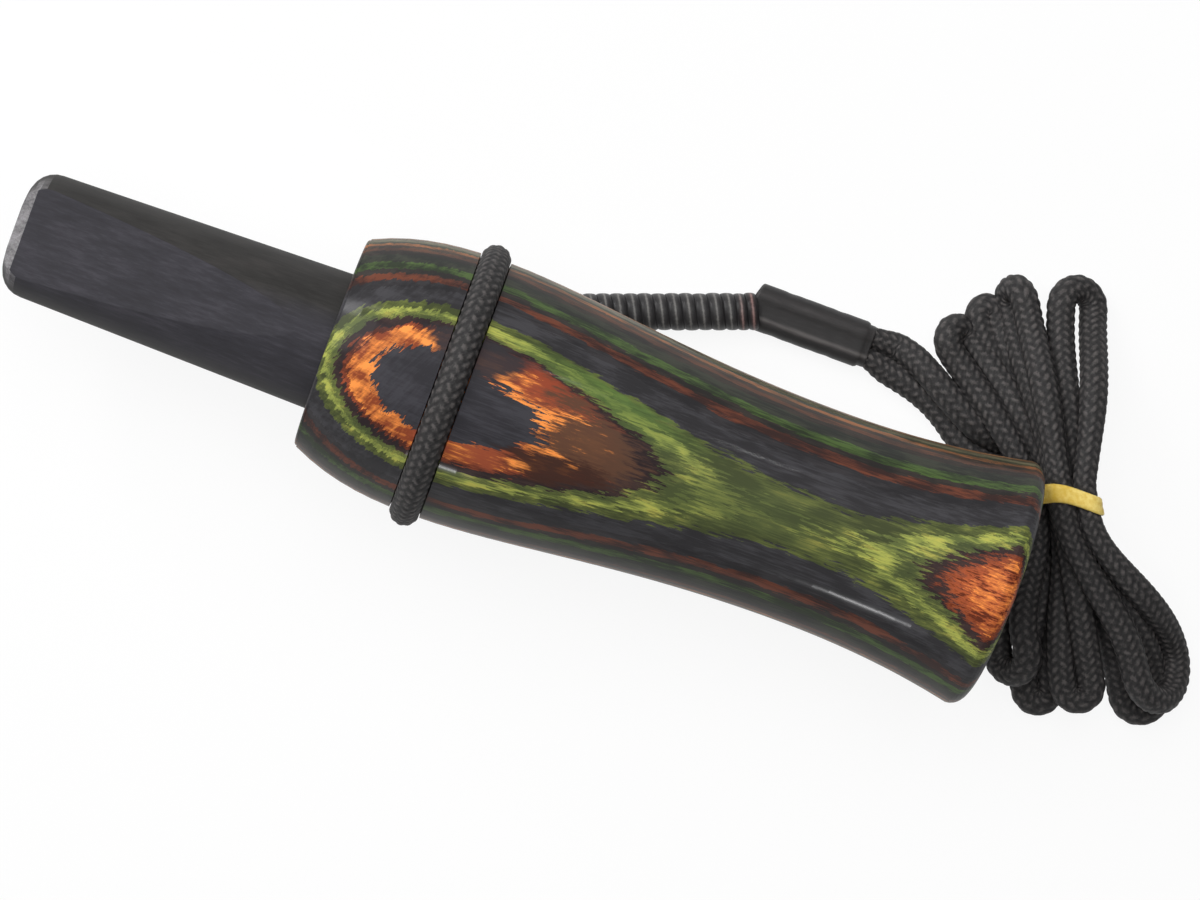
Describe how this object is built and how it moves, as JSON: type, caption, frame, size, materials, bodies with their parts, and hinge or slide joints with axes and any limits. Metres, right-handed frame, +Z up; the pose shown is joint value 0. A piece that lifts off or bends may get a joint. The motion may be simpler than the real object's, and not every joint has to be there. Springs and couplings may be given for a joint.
{
  "type": "bird call",
  "caption": "Closed-reed barrel bird call in laminated wood with a black wooden mouthpiece and a braided neck cord folded into a hank.",
  "frame": {"origin": "centre of the bell bore where it opens in the rear face of the barrel", "axes": "+X along the call's axis, out of the bell bore, with the mouthpiece towards -X; +Z up, away from the surface that the call lies on; +Y to the side where the neck cord lies"},
  "size_m": [0.1621, 0.06, 0.0364],
  "materials": {
    "laminated_wood": "gloss",
    "black_wood": "satin",
    "seal_rubber": "matte",
    "board_plastic": "satin",
    "reed_film": "gloss",
    "cork": "matte",
    "cord": "matte",
    "thread": "satin",
    "sleeve_plastic": "satin",
    "band_rubber": "matte"
  },
  "bodies": {
    "barrel": {"barrel": "laminated_wood"},
    "seals": {"front_o_ring": "seal_rubber", "rear_o_ring": "seal_rubber"},
    "insert": {"mouthpiece": "black_wood", "tone_board": "board_plastic", "reed_wedge": "cork"},
    "reed": {"reed": "reed_film"},
    "lanyard": {"noose": "cord", "whipping": "thread", "sleeve": "sleeve_plastic", "neck_cord_outer": "cord", "neck_cord_inner": "cord", "neck_cord_hank": "cord", "rubber_band": "band_rubber"}
  },
  "joints": [
    {"name": "insert_pull", "type": "slide", "parent": "barrel", "child": "seals", "axis": [-1, 0, 0], "range_m": [0, 0.036]},
    {"name": "insert_turn", "type": "hinge", "parent": "seals", "child": "insert", "pos_m": [-0.08, 0, 0], "axis": [1, 0, 0], "continuous": true},
    {"name": "reed_flex", "type": "hinge", "parent": "insert", "child": "reed", "pos_m": [-0.067, 0, 0.00028], "axis": [0, 1, 0], "range_deg": [-1.5, 1.5], "stiffness_Nm_per_rad": 0.004},
    {"name": "lanyard_turn", "type": "hinge", "parent": "barrel", "child": "lanyard", "pos_m": [-0.0737, 0, 0], "axis": [1, 0, 0], "continuous": true}
  ]
}
